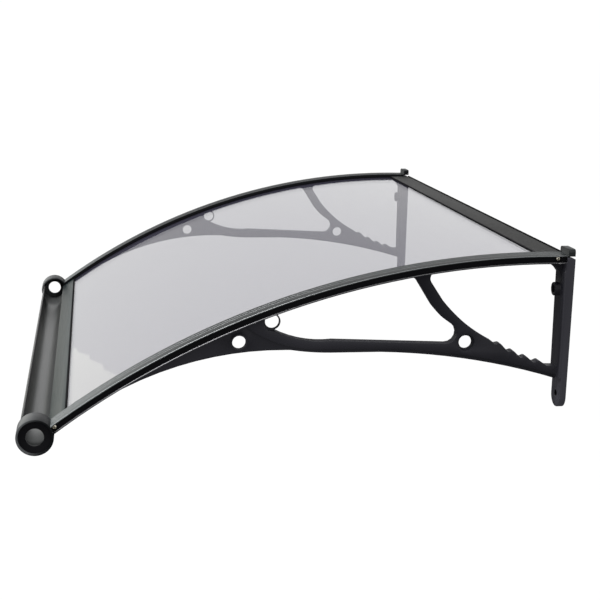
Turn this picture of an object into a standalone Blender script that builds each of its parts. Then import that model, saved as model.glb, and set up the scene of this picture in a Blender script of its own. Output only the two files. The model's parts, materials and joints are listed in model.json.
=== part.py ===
"""Door awning with an arched polycarbonate sheet between two moulded side brackets.

Metres, +Z up. X runs along the wall, the wall is the plane Y = 0 and the awning reaches towards -Y.
Every side outline is drawn in Y and Z and extruded along X, so depths are counted inwards from the
outer face of the right-hand bracket. The roof is one arc: a place on it is an angle from its crest and
a drop below the top of the cover strips.
"""

import math

import bmesh
import bpy
from mathutils import Matrix, Vector

# Overall sizes
WIDTH = 1.000  # over the outer faces of the two brackets
PROJECTION = 0.7855  # wall to the front of the end rings
ROOF_RADIUS = 1.1897  # top of the cover strips
ROOF_CREST_Y = -0.0319
ROOF_CREST_Z = 0.0094
FIT = 0.0003  # gap between two pieces that touch
STEP_LENGTH = 0.024  # chord of the roof arc and of the long edges

# Layers of the roof, from the top down
COVER_THICKNESS = 0.0020
COVER_DEPTH = 0.0067  # top of the cover to the foot of its leg
SHEET_THICKNESS = 0.0026
LEDGE_THICKNESS = 0.0021

# Bracket rail
BRACKET_WIDTH = 0.0350
KERB_SETBACK = 0.0040  # from the outer face
KERB_THICKNESS = 0.0030
END_WALL = 0.0120  # behind the sheet, against the wall
END_WALL_TOP = ((0.0, 0.0042), (-0.0086, 0.0068))  # its sloping top edge, (Y, Z)

# Bracket web and its panels
WEB_WIDTH = 0.0160
PANEL_DEPTH = 0.0055  # how far the front panel and the strut's lip lie under the web's faces
LIP_HEIGHT = 0.0062  # of that lip, below the body of the strut
PANEL_TIP_Y = -0.690  # past the tip of the web
PANEL_TOP_GAP = 0.0012

# Curved edges of the web, each the circle through three places (Y, Z)
FRONT_EDGE = ((-0.6398, -0.1765), (-0.5044, -0.1320), (-0.4130, -0.1254))
DIP_EDGE = ((-0.4059, -0.1255), (-0.3773, -0.1291), (-0.3486, -0.1305))
STRUT_EDGE = ((-0.2763, -0.1307), (-0.1578, -0.1420), (-0.0197, -0.1735))
CREASE_EDGE = ((-0.4685, -0.0909), (-0.4213, -0.1150), (-0.3600, -0.1236))  # front of the strut's body
STRUT_TOP_BEND = ((-0.4230, -0.0995), (-0.3970, -0.1085), (-0.3467, -0.1121))
STRUT_TOP_END = (-0.1823, -0.1192)  # the straight part runs from the bend to here
BRACE_LEFT_EDGE = ((-0.2246, -0.0342), (-0.2045, -0.0632), (-0.1725, -0.0950))
BRACE_RIGHT_EDGE = ((-0.2078, -0.0305), (-0.1588, -0.0864), (-0.1140, -0.1165))

# Corner radii of the two windows
LEFT_TOP_RADIUS = 0.0180
LEFT_FOOT_RADIUS = 0.0150
BRACE_LEFT_END_Y = -0.1880  # where the fillet takes over from the arc
RIGHT_TOP_RADIUS = 0.0095
BRACE_RIGHT_TOP_Y = -0.1900
BRACE_STEP = 0.0065  # along Y, on the brace's two steep edges
POST_TOP_RADIUS = 0.0290

# Teeth along the foot of the right window
TOOTH_COUNT = 4
TOOTH_LINE = ((-0.1080, -0.1216), (-0.0704, -0.1418), (-0.0286, -0.1559))  # circle of the valleys
TOOTH_CREST = 0.0073  # from a valley to the next crest, along Y
TOOTH_HEIGHT = 0.0061  # of a crest above that circle, before rounding
TOOTH_RADIUS = 0.0042
WINDOW_FOOT_Z = -0.1552

# Clip loop and holes of the web
CLIP_CENTRE = (-0.4328, -0.0837)
CLIP_RADIUS = 0.0099
CLIP_WALL = 0.0021
FRONT_HOLE = (-0.4787, -0.1130)
REAR_HOLE = (-0.1520, -0.1182)
HOLE_RADIUS = 0.0096
HOLE_COLLAR = 0.0026  # wall of the collar round the front hole, and of the recess round the rear one
COLLAR_WIDTH = 0.0080

# Post, its lug and its screw sleeve
POST_DEPTH_TOP = 0.0163
POST_DEPTH_FOOT = 0.0143
POST_SHOULDER_Z = -0.0140
POST_FOOT_Z = -0.1720
POST_WALL = 0.0030  # the post is a shell, open to the wall
POST_RIB = 0.0025
POST_CELLS = 4
LUG_THICKNESS = 0.0095
LUG_BOTTOM_Z = -0.2184
LUG_RADIUS = 0.0168
LUG_HOLE_Z = -0.1980
WALL_HOLE_RADIUS = 0.0046
SLEEVE_Z = -0.0418
SLEEVE_RADIUS = 0.0098
SLEEVE_REACH = 0.0240
SLEEVE_MOUTH_RADIUS = 0.0054
SLEEVE_SEAT = 0.0060  # plastic left under the screw's head

# End ring with the gutter's socket
RING_RADIUS = 0.0260
RING_WALL = 0.0029
RING_RECESS = 0.0032
RING_PLATE = 0.0028
RING_HOLE_RADIUS = 0.0125
RING_SEGMENTS = 64

# Cover strip
COVER_SETBACK = 0.0005
LEG_THICKNESS = 0.0030
GROOVE_WIDTH = 0.0013
GROOVE_DEPTH = 0.0006
GROOVE_DEPTHS = (0.0180, 0.0262)  # from the outer face
BLOCK_DEPTH = 0.0106
BLOCK_BOTTOM_Z = 0.0081
BLOCK_TOP_Z = 0.0186
BLOCK_RADIUS = 0.0040
PAD_WIDTH = 0.0080
PAD_SETBACK = 0.0180

# Screws through the kerb into the cover strip
SCREW_DROP = 0.0044
SCREW_REAR_Y = -0.0254
SCREW_FRONT_ARC = 0.0300  # along the roof from the ring's centre
HEAD_RADIUS = 0.0034
HEAD_HEIGHT = 0.0028
SHANK_RADIUS = 0.0015
SHANK_LENGTH = 0.0090
RECESS_WIDTH = 0.0009
RECESS_LENGTH = 0.0040
RECESS_DEPTH = 0.0013
LUMP_LENGTH = 0.0100  # of the cover's screw block, along the roof
LUMP_DEPTH = 0.0090
NOTCH_WIDTH = 0.0040
NOTCH_DEPTH = 0.0025

# Gutter
GUTTER_WALL = 0.0018
GUTTER_LIP_ANGLE = math.radians(160)  # from +Y round over the bottom
GUTTER_STEPS = 44
BEAD_RADIUS = 0.0016
FLANGE_THICKNESS = 0.0023
FLANGE_START = 0.0190  # along the roof from the ring's centre
FLANGE_END = 0.0464
LOWER_FLANGE_START = 0.0185
LOWER_FLANGE_END = 0.0400
LOWER_FLANGE_THICKNESS = 0.0020
SEAL_WIDTH = 0.0025

# Wall profile
PROFILE_DEPTH = 0.0395
PROFILE_THICKNESS = 0.0024
PROFILE_LIP = 0.0260
PROFILE_LIP_THICKNESS = 0.0020
PROFILE_BACK = 0.0030
PROFILE_FLANGE = 0.0025
PROFILE_BOTTOM_Z = -0.0160
PROFILE_HOLE_X = 0.300
PROFILE_HOLE_Z = -0.0095
PROFILE_HOLE_RADIUS = 0.0026
WALL_SEAL_DEPTH = 0.0020
WALL_SEAL_HEIGHT = 0.0025
WALL_SEAL_SEAT = 0.0015  # how far the seal sinks into the profile

# Worked out from the sizes above
ROOF_CENTRE = (ROOF_CREST_Y, ROOF_CREST_Z - ROOF_RADIUS)
RING_ANGLE = math.asin((PROJECTION - RING_RADIUS + ROOF_CREST_Y) / ROOF_RADIUS)
SHEET_DROP = COVER_DEPTH + FIT
LEDGE_DROP = SHEET_DROP + SHEET_THICKNESS + FIT
RAIL_DROP = LEDGE_DROP + LEDGE_THICKNESS
WEB_SETBACK = (BRACKET_WIDTH - WEB_WIDTH) / 2
SOCKET_RADIUS = RING_RADIUS - RING_WALL
GUTTER_RADIUS = SOCKET_RADIUS - FIT
INNER_HALF = WIDTH / 2 - BRACKET_WIDTH - FIT  # half length of what fits between the brackets
POST_CENTRE_X = WIDTH / 2 - BRACKET_WIDTH / 2
OVERSHOOT = 0.0050  # how far a cutter passes the face that it opens
OVERLAP = 0.0008  # how far one solid reaches into the next before they are joined
INSIDE_RAIL = LEDGE_DROP + LEDGE_THICKNESS / 2
POST_POCKET = POST_DEPTH_FOOT - POST_WALL  # depth of the hollow in the post's back
INSIDE_POST = POST_DEPTH_FOOT - POST_WALL / 2

# Turns a flat outline so that it lies in Y and Z, or in X and Z
SIDE_VIEW = Matrix(((0, 0, 1, 0), (1, 0, 0, 0), (0, 1, 0, 0), (0, 0, 0, 1)))
FRONT_VIEW = Matrix(((1, 0, 0, 0), (0, 0, -1, 0), (0, 1, 0, 0), (0, 0, 0, 1)))


def clear_scene():
    for obj in list(bpy.data.objects):
        bpy.data.objects.remove(obj, do_unlink=True)


def new_collection(name):
    collection = bpy.data.collections.new(name)
    bpy.context.scene.collection.children.link(collection)
    return collection


clear_scene()
PARTS = new_collection("polycarbonate_awning")
TOOLS = new_collection("cutters_and_blanks")


def material(name, colour, roughness, metallic=0.0, alpha=1.0):
    made = bpy.data.materials.new(name)
    made.use_nodes = True
    shader = made.node_tree.nodes["Principled BSDF"]
    shader.inputs["Base Color"].default_value = (*colour, 1)
    shader.inputs["Roughness"].default_value = roughness
    shader.inputs["Metallic"].default_value = metallic
    shader.inputs["Alpha"].default_value = alpha
    made.diffuse_color = (*colour, alpha)
    return made


BLACK_PLASTIC = material("black_plastic", (0.022, 0.022, 0.025), 0.38)
GREY_PLASTIC = material("grey_plastic", (0.014, 0.015, 0.016), 0.46)
POLYCARBONATE = material("polycarbonate", (0.16, 0.157, 0.176), 0.12, alpha=0.45)
GUTTER_GREY = material("gutter_grey", (0.017, 0.018, 0.018), 0.45, metallic=0.2)
PROFILE_GREY = material("profile_grey", (0.024, 0.024, 0.0235), 0.6, metallic=0.2)
BLACK_RUBBER = material("black_rubber", (0.008, 0.008, 0.009), 0.75)
SCREW_METAL = material("screw_metal", (0.72, 0.64, 0.45), 0.25, metallic=1.0)


# Places on the roof arc

def roof_point(angle, drop):
    reach = ROOF_RADIUS - drop
    return (ROOF_CENTRE[0] - reach * math.sin(angle), ROOF_CENTRE[1] + reach * math.cos(angle))


def roof_angle(y, drop=0.0):
    return math.asin((ROOF_CENTRE[0] - y) / (ROOF_RADIUS - drop))


def arc_angle(length):
    """Angle of the place that lies this far from the ring's centre, along the roof."""
    return RING_ANGLE - length / ROOF_RADIUS


def roof_height(y, drop):
    return roof_point(roof_angle(y, drop), drop)[1]


def roof_band(front, back, top, bottom):
    """Outline between two drops, from one angle to another. All bands share one grid of angles."""
    step = STEP_LENGTH / ROOF_RADIUS
    inner = [step * i for i in range(math.ceil(back / step), math.floor(front / step) + 1)]
    inner = [a for a in inner if back + step / 4 < a < front - step / 4]
    angles = [back, *inner, front]
    return [roof_point(a, top) for a in angles] + [roof_point(a, bottom) for a in reversed(angles)]


# Curved edges in the side view

def circle_through(places):
    """Centre, radius and the side (1 above the centre, -1 below) of the arc through three places."""
    (ay, az), (by, bz), (cy, cz) = places
    d = 2 * (ay * (bz - cz) + by * (cz - az) + cy * (az - bz))
    a, b, c = ay * ay + az * az, by * by + bz * bz, cy * cy + cz * cz
    centre_y = (a * (bz - cz) + b * (cz - az) + c * (az - bz)) / d
    centre_z = (a * (cy - by) + b * (ay - cy) + c * (by - ay)) / d
    radius = math.hypot(ay - centre_y, az - centre_z)
    return centre_y, centre_z, radius, math.copysign(1, bz - centre_z)


def edge_height(circle, y, lift=0.0):
    """Height of an arc at y, with the arc moved up by lift, square to itself."""
    centre_y, centre_z, radius, side = circle
    return centre_z + side * math.sqrt((radius + side * lift) ** 2 - (y - centre_y) ** 2)


def arc_start(circle):
    """The y just inside the front end of a circle."""
    return circle[0] - circle[2] + FIT


def spread(start, end, length=STEP_LENGTH):
    count = max(1, round(abs(end - start) / length))
    return [start + (end - start) * i / count for i in range(count + 1)]


def crossing(first, second, low, high):
    """The y between low and high where two heights are equal, by halving."""
    sign = math.copysign(1, first(low) - second(low))
    for _ in range(50):
        middle = (low + high) / 2
        if (first(middle) - second(middle)) * sign > 0:
            low = middle
        else:
            high = middle
    return (low + high) / 2


FRONT_ARC = circle_through(FRONT_EDGE)
DIP_ARC = circle_through(DIP_EDGE)
STRUT_ARC = circle_through(STRUT_EDGE)
CREASE_ARC = circle_through(CREASE_EDGE)
BEND_ARC = circle_through(STRUT_TOP_BEND)
BRACE_LEFT_ARC = circle_through(BRACE_LEFT_EDGE)
BRACE_RIGHT_ARC = circle_through(BRACE_RIGHT_EDGE)
TOOTH_ARC = circle_through(TOOTH_LINE)
BEND_END = STRUT_TOP_BEND[2]


def strut_top(y):
    slope = (STRUT_TOP_END[1] - BEND_END[1]) / (STRUT_TOP_END[0] - BEND_END[0])
    return BEND_END[1] + slope * (y - BEND_END[0])


def rounded(corners, steps=6):
    """Closed outline whose corners (y, z, radius) become arcs. A corner with no radius stays."""
    outline = []
    places = [Vector((y, z)) for y, z, *_ in corners]
    for i, (_, _, *radius) in enumerate(corners):
        here = places[i]
        if not radius:
            outline.append(tuple(here))
            continue
        radius = radius[0]
        before = (places[i - 1] - here).normalized()
        after = (places[(i + 1) % len(places)] - here).normalized()
        half = before.angle(after) / 2
        centre = here + (before + after).normalized() * radius / math.sin(half)
        start = here + before * radius / math.tan(half) - centre
        end = here + after * radius / math.tan(half) - centre
        sweep = start.angle_signed(end)
        for k in range(steps + 1):
            turned = start.copy()
            turned.rotate(Matrix.Rotation(-sweep * k / steps, 2))
            outline.append(tuple(centre + turned))
    return outline


# Makers of solids

def settled(mesh, matrix):
    """Moves a mesh into world space and rounds it, so that faces meant to share a plane do so exactly."""
    mesh.transform(matrix)
    for vertex in mesh.vertices:
        vertex.co = [round(c, 6) for c in vertex.co]
    return mesh


def mesh_object(name, mesh, matrix=None, paint=None):
    obj = bpy.data.objects.new(name, mesh)
    if matrix:
        obj.matrix_world = matrix
    if paint:
        mesh.materials.clear()
        mesh.materials.append(paint)
        PARTS.objects.link(obj)
    else:
        TOOLS.objects.link(obj)
        obj.hide_render = True
        obj.display_type = "WIRE"
    return obj


def extruded(name, outline, low, high, paint=None, view=SIDE_VIEW, holes=()):
    """A flat outline, less its holes, from low to high along the axis that its view looks along."""
    curve = bpy.data.curves.new(name, "CURVE")
    curve.dimensions = "2D"
    curve.fill_mode = "BOTH"
    curve.extrude = (high - low) / 2
    for loop in (outline, *holes):
        spline = curve.splines.new("POLY")
        spline.points.add(len(loop) - 1)
        for point, (u, v) in zip(spline.points, loop):
            point.co = (u, v, 0, 1)
        spline.use_cyclic_u = True
    drawn = bpy.data.objects.new(name + "_outline", curve)
    TOOLS.objects.link(drawn)
    bpy.context.view_layer.update()
    graph = bpy.context.evaluated_depsgraph_get()
    mesh = bpy.data.meshes.new_from_object(drawn.evaluated_get(graph))
    mesh.name = name
    bpy.data.objects.remove(drawn)
    bpy.data.curves.remove(curve)
    work = bmesh.new()
    work.from_mesh(mesh)
    bmesh.ops.remove_doubles(work, verts=work.verts, dist=1e-6)
    bmesh.ops.dissolve_limit(work, angle_limit=math.radians(0.3), verts=work.verts, edges=work.edges)
    bmesh.ops.recalc_face_normals(work, faces=work.faces)
    work.to_mesh(mesh)
    work.free()
    middle = Matrix.Translation(view @ Vector((0, 0, (low + high) / 2)))
    return mesh_object(name, settled(mesh, middle @ view), paint=paint)


def at_depth(name, outline, near, far, paint=None, holes=()):
    """An outline of the side view, between two depths behind the right-hand outer face."""
    return extruded(name, outline, WIDTH / 2 - far, WIDTH / 2 - near, paint, holes=holes)


def cylinder(name, radius, length, segments, place):
    work = bmesh.new()
    bmesh.ops.create_cone(
        work, cap_ends=True, segments=segments, radius1=radius, radius2=radius, depth=length
    )
    mesh = bpy.data.meshes.new(name)
    work.to_mesh(mesh)
    work.free()
    return mesh_object(name, settled(mesh, place))


def round_bar(name, centre, radius, near, far, segments=32):
    """A cylinder along X, between two depths."""
    place = Matrix.Translation((WIDTH / 2 - (near + far) / 2, *centre))
    return cylinder(name, radius, far - near, segments, place @ Matrix.Rotation(math.pi / 2, 4, "Y"))


def wall_bar(name, x, z, radius, reach, start=0.0, segments=32):
    """A cylinder along Y, from the wall (or from start) outwards."""
    place = Matrix.Translation((x, -(start + reach) / 2, z))
    return cylinder(name, radius, reach - start, segments, place @ Matrix.Rotation(math.pi / 2, 4, "X"))


def boolean(target, tool, operation):
    modifier = target.modifiers.new(tool.name, "BOOLEAN")
    modifier.operation = operation
    modifier.solver = "EXACT"
    modifier.object = tool


def cut(target, *tools):
    for tool in tools:
        boolean(target, tool, "DIFFERENCE")


def join(target, *tools):
    for tool in tools:
        boolean(target, tool, "UNION")


def mirrored(obj, name):
    """The left-hand twin: the finished mesh of a right-hand piece, mirrored across X = 0."""
    bpy.context.view_layer.update()
    graph = bpy.context.evaluated_depsgraph_get()
    mesh = bpy.data.meshes.new_from_object(obj.evaluated_get(graph))
    twin = bpy.data.objects.new(name, mesh)
    twin.matrix_world = Matrix.Scale(-1, 4, (1, 0, 0)) @ obj.matrix_world
    PARTS.objects.link(twin)
    return twin


# Side bracket

def roof_line(start, end, drop):
    """Places along the roof from one y to another."""
    angles = spread(roof_angle(start, drop), roof_angle(end, drop), STEP_LENGTH / ROOF_RADIUS)
    return [roof_point(a, drop) for a in angles]


def edge_line(circle, places, lift=0.0):
    return [(y, edge_height(circle, y, lift)) for y in places]


def under_edge(end):
    """The underside of the web, from the front end of its arc to the post."""
    front = edge_line(FRONT_ARC, spread(FRONT_EDGE[0][0], FRONT_EDGE[2][0]))
    dip = edge_line(DIP_ARC, spread(DIP_EDGE[0][0], DIP_EDGE[2][0], STEP_LENGTH / 2))
    return front + dip + edge_line(STRUT_ARC, spread(STRUT_EDGE[0][0], end))


def panel():
    """What is cut off the web's faces: the front panel, and the lip below the body of the strut."""
    top = RAIL_DROP + PANEL_TOP_GAP
    corner = crossing(
        lambda y: roof_height(y, top),
        lambda y: edge_height(CREASE_ARC, y),
        arc_start(CREASE_ARC),
        CREASE_EDGE[1][0],
    )
    body = edge_line(CREASE_ARC, spread(corner, CREASE_EDGE[2][0], STEP_LENGTH / 2))
    body += edge_line(STRUT_ARC, spread(STRUT_EDGE[0][0], 0), LIP_HEIGHT)
    below = [(y, z - OVERSHOOT) for y, z in under_edge(0)]
    return roof_line(corner, PANEL_TIP_Y, top)[1:] + below + body[::-1]


def window_top(y):
    """The windows are cut a little into the rail, which is joined on afterwards."""
    return roof_height(y, RAIL_DROP - OVERLAP)


def left_window():
    _, middle_y, end_y = (y for y, _ in BRACE_LEFT_EDGE)
    corner_y = crossing(
        window_top, lambda y: edge_height(BRACE_LEFT_ARC, y), middle_y, arc_start(BRACE_LEFT_ARC)
    )
    foot_y = crossing(
        lambda y: edge_height(BRACE_LEFT_ARC, y), strut_top, end_y, BRACE_RIGHT_EDGE[2][0]
    )
    front_y = CLIP_CENTRE[0] + OVERLAP
    rail = [(y, window_top(y)) for y in spread(front_y, corner_y)[:-1]]
    brace = edge_line(BRACE_LEFT_ARC, spread(middle_y, BRACE_LEFT_END_Y, BRACE_STEP))
    bend = edge_line(BEND_ARC, spread(BEND_END[0], front_y, STEP_LENGTH / 2))
    return rounded(
        rail
        + [(corner_y, window_top(corner_y), LEFT_TOP_RADIUS)]
        + brace
        + [(foot_y, strut_top(foot_y), LEFT_FOOT_RADIUS)]
        + bend
    )


def tooth_corners():
    """Valleys and crests from the brace to the foot of the window, to be rounded."""
    start, end = TOOTH_LINE[0][0], TOOTH_LINE[2][0]
    corners = []
    for valley in spread(start, end, (end - start) / TOOTH_COUNT)[:-1]:
        crest = valley + TOOTH_CREST
        corners.append((valley, edge_height(TOOTH_ARC, valley), TOOTH_RADIUS))
        corners.append((crest, edge_height(TOOTH_ARC, crest) + TOOTH_HEIGHT, TOOTH_RADIUS))
    return corners + [(end, WINDOW_FOOT_Z, TOOTH_RADIUS)]


def right_window():
    """The window beside the post, into which its rear edge reaches a little."""
    _, middle_y, end_y = (y for y, _ in BRACE_RIGHT_EDGE)
    corner_y = crossing(
        window_top, lambda y: edge_height(BRACE_RIGHT_ARC, y), middle_y, arc_start(BRACE_RIGHT_ARC)
    )
    post_top, post_foot = OVERLAP - POST_DEPTH_TOP, OVERLAP - POST_DEPTH_FOOT
    rail = [(y, window_top(y)) for y in spread(corner_y, post_top - POST_TOP_RADIUS)[1:]]
    return rounded(
        [(corner_y, window_top(corner_y), RIGHT_TOP_RADIUS)]
        + rail
        + [(post_top, window_top(post_top), POST_TOP_RADIUS), (post_foot, WINDOW_FOOT_Z)]
        + tooth_corners()[::-1]
        + edge_line(BRACE_RIGHT_ARC, spread(end_y, BRACE_RIGHT_TOP_Y, BRACE_STEP))
    )


def circle_outline(centre, radius, segments=32):
    angles = [2 * math.pi * i / segments for i in range(segments)]
    return [(centre[0] + radius * math.cos(a), centre[1] + radius * math.sin(a)) for a in angles]


def tip_height(y):
    """The underside runs straight on from its front arc, until it meets the rail."""
    start_y, start_z = FRONT_EDGE[0]
    centre_y, centre_z, *_ = FRONT_ARC
    return start_z - (y - start_y) * (start_y - centre_y) / (start_z - centre_z)


def web():
    """The plate of the bracket with its two windows and the rear hole."""
    end = -INSIDE_POST
    tip = crossing(
        lambda y: roof_height(y, INSIDE_RAIL), tip_height, 2 * RING_RADIUS - PROJECTION, FRONT_EDGE[0][0]
    )
    outline = roof_line(end, tip, INSIDE_RAIL) + under_edge(end)
    holes = (left_window(), right_window(), circle_outline(REAR_HOLE, HOLE_RADIUS))
    back = WEB_SETBACK + WEB_WIDTH
    return at_depth("side_bracket_right", outline, WEB_SETBACK, back, BLACK_PLASTIC, holes)


def post():
    """The upright against the wall: a shell with ribs across its hollow back."""
    inner_z = roof_height(-END_WALL, INSIDE_RAIL)
    outline = [
        *END_WALL_TOP,
        (-END_WALL, END_WALL_TOP[1][1]),
        (-END_WALL, inner_z),
        (-POST_DEPTH_TOP, inner_z),
        (-POST_DEPTH_TOP, POST_SHOULDER_Z),
        (-POST_DEPTH_FOOT, POST_FOOT_Z),
        (0, POST_FOOT_Z),
    ]
    blank = at_depth("post_blank", outline, 0, BRACKET_WIDTH)
    pitch = (POST_SHOULDER_Z - POST_FOOT_Z) / POST_CELLS
    for i in range(POST_CELLS):
        top, bottom = POST_SHOULDER_Z - pitch * i, POST_SHOULDER_Z - pitch * (i + 1) + POST_RIB
        cell = [(OVERSHOOT, top), (OVERSHOOT, bottom), (-POST_POCKET, bottom), (-POST_POCKET, top)]
        cut(blank, at_depth(f"post_cell_{i}", cell, POST_WALL, BRACKET_WIDTH - POST_WALL))
    return blank


def lug():
    low, high = POST_CENTRE_X - BRACKET_WIDTH / 2, POST_CENTRE_X + BRACKET_WIDTH / 2
    outline = rounded(
        [
            (low, POST_FOOT_Z + POST_WALL / 2),
            (low, LUG_BOTTOM_Z, LUG_RADIUS),
            (high, LUG_BOTTOM_Z, LUG_RADIUS),
            (high, POST_FOOT_Z + POST_WALL / 2),
        ]
    )
    return extruded("lug_blank", outline, 0, LUG_THICKNESS, view=FRONT_VIEW)


def screw_hole(name, z, radius, reach, start):
    """Cutter for a wall screw, square to the wall, that opens the face at this reach."""
    return wall_bar(name, POST_CENTRE_X, z, radius, reach + OVERSHOOT, start, 24)


def screw_places():
    return {
        "rear": roof_point(roof_angle(SCREW_REAR_Y), SCREW_DROP),
        "front": roof_point(arc_angle(SCREW_FRONT_ARC), SCREW_DROP),
    }


def bracket():
    ring_centre = roof_point(RING_ANGLE, 0)
    socket = RING_RECESS + RING_PLATE
    made = web()
    outer, inner = WEB_SETBACK, WEB_SETBACK + WEB_WIDTH
    through = (-OVERSHOOT, BRACKET_WIDTH + OVERSHOOT)
    recess, clip = HOLE_RADIUS + HOLE_COLLAR, CLIP_RADIUS + CLIP_WALL
    join(made, round_bar("clip", CLIP_CENTRE, clip, outer, inner))
    cut(
        made,
        at_depth("panel_outer", panel(), through[0], outer + PANEL_DEPTH),
        at_depth("panel_inner", panel(), inner - PANEL_DEPTH, through[1]),
        round_bar("rear_recess_outer", REAR_HOLE, recess, through[0], outer + PANEL_DEPTH),
        round_bar("rear_recess_inner", REAR_HOLE, recess, inner - PANEL_DEPTH, through[1]),
        round_bar("clip_recess_outer", CLIP_CENTRE, clip + OVERLAP, through[0], outer + PANEL_DEPTH),
        round_bar("clip_recess_inner", CLIP_CENTRE, clip + OVERLAP, inner - PANEL_DEPTH, through[1]),
    )
    collar = (BRACKET_WIDTH - COLLAR_WIDTH) / 2
    rail_back, kerb_back = roof_angle(-END_WALL / 2), roof_angle(OVERLAP - END_WALL)
    kerb_band = roof_band(RING_ANGLE, kerb_back, COVER_THICKNESS + FIT, INSIDE_RAIL)
    join(
        made,
        at_depth("rail", roof_band(RING_ANGLE, rail_back, LEDGE_DROP, RAIL_DROP), 0, BRACKET_WIDTH),
        at_depth("kerb", kerb_band, KERB_SETBACK, KERB_SETBACK + KERB_THICKNESS),
        post(),
        lug(),
        round_bar("ring", ring_centre, RING_RADIUS, 0, BRACKET_WIDTH, RING_SEGMENTS),
        round_bar("front_collar", FRONT_HOLE, recess, collar, collar + COLLAR_WIDTH),
        wall_bar("sleeve", POST_CENTRE_X, SLEEVE_Z, SLEEVE_RADIUS, SLEEVE_REACH),
    )
    notch_y, _ = screw_places()["rear"]
    notch_z = roof_height(notch_y, LEDGE_DROP)
    cut(
        made,
        round_bar("ring_recess", ring_centre, SOCKET_RADIUS, -OVERSHOOT, RING_RECESS, RING_SEGMENTS),
        round_bar("ring_socket", ring_centre, SOCKET_RADIUS, socket, through[1], RING_SEGMENTS),
        round_bar("ring_hole", ring_centre, RING_HOLE_RADIUS, *through, segments=40),
        round_bar("clip_hole", CLIP_CENTRE, CLIP_RADIUS, *through),
        round_bar("front_hole", FRONT_HOLE, HOLE_RADIUS, *through),
        screw_hole("sleeve_mouth", SLEEVE_Z, SLEEVE_MOUTH_RADIUS, SLEEVE_REACH, SLEEVE_SEAT),
        screw_hole("sleeve_hole", SLEEVE_Z, WALL_HOLE_RADIUS, SLEEVE_REACH, -OVERSHOOT),
        screw_hole("lug_hole", LUG_HOLE_Z, WALL_HOLE_RADIUS, LUG_THICKNESS, -OVERSHOOT),
        at_depth(
            "ledge_notch",
            [
                (notch_y - NOTCH_WIDTH / 2, notch_z + NOTCH_DEPTH / 2),
                (notch_y, notch_z - LEDGE_THICKNESS * 0.7),
                (notch_y + NOTCH_WIDTH / 2, notch_z + NOTCH_DEPTH / 2),
            ],
            -OVERSHOOT,
            NOTCH_DEPTH,
        ),
    )
    reach = KERB_SETBACK + KERB_THICKNESS + OVERSHOOT
    for end, place in screw_places().items():
        cut(made, round_bar(f"kerb_hole_{end}", place, SHANK_RADIUS + FIT, 0, reach, 16))
    return made


# Cover strip with its screws and pad

def cover_strip():
    ring_centre = roof_point(RING_ANGLE, 0)
    near, far = COVER_SETBACK, BRACKET_WIDTH - COVER_SETBACK
    made = at_depth(
        "cover_strip_right",
        roof_band(arc_angle(RING_RADIUS / 2), roof_angle(2 * OVERLAP - BLOCK_DEPTH), 0, COVER_THICKNESS),
        near,
        far,
        GREY_PLASTIC,
    )
    block = extruded(
        "cover_block",
        rounded(
            [
                (WIDTH / 2 - far, BLOCK_BOTTOM_Z),
                (WIDTH / 2 - far, BLOCK_TOP_Z, BLOCK_RADIUS),
                (WIDTH / 2 - near, BLOCK_TOP_Z, BLOCK_RADIUS),
                (WIDTH / 2 - near, BLOCK_BOTTOM_Z),
            ]
        ),
        COVER_SETBACK,
        BLOCK_DEPTH,
        view=FRONT_VIEW,
    )
    leg_ends = arc_angle(RING_RADIUS / 3), roof_angle(-END_WALL - FIT)
    leg = roof_band(*leg_ends, COVER_THICKNESS / 2, COVER_DEPTH)
    join(made, block, at_depth("cover_leg", leg, far - LEG_THICKNESS, far))
    for end, (y, _) in screw_places().items():
        half = LUMP_LENGTH / 2 / ROOF_RADIUS
        angle = roof_angle(y, SCREW_DROP)
        start = KERB_SETBACK + KERB_THICKNESS + FIT
        lump = roof_band(angle + half, angle - half, COVER_THICKNESS / 2, COVER_DEPTH)
        join(made, at_depth(f"screw_block_{end}", lump, start, start + LUMP_DEPTH))
    groove = roof_band(RING_ANGLE, roof_angle(-BLOCK_DEPTH), -OVERSHOOT, GROOVE_DEPTH)
    for i, depth in enumerate(GROOVE_DEPTHS):
        cut(made, at_depth(f"groove_{i}", groove, depth - GROOVE_WIDTH / 2, depth + GROOVE_WIDTH / 2))
    through = (-OVERSHOOT, BRACKET_WIDTH + OVERSHOOT)
    cut(made, round_bar("ring_clearance", ring_centre, RING_RADIUS + FIT, *through, RING_SEGMENTS))
    for end, place in screw_places().items():
        start = KERB_SETBACK + KERB_THICKNESS
        cut(
            made,
            round_bar(f"head_room_{end}", place, HEAD_RADIUS + FIT, -OVERSHOOT, KERB_SETBACK, 24),
            round_bar(f"screw_hole_{end}", place, SHANK_RADIUS + FIT, start, start + SHANK_LENGTH, 16),
        )
    return made


def cover_pad():
    near = PAD_SETBACK
    front, back = arc_angle(RING_RADIUS + KERB_SETBACK), roof_angle(-END_WALL - SEAL_WIDTH)
    band = roof_band(front, back, COVER_THICKNESS + FIT, COVER_DEPTH)
    return at_depth("cover_pad_right", band, near, near + PAD_WIDTH, BLACK_RUBBER)


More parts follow.
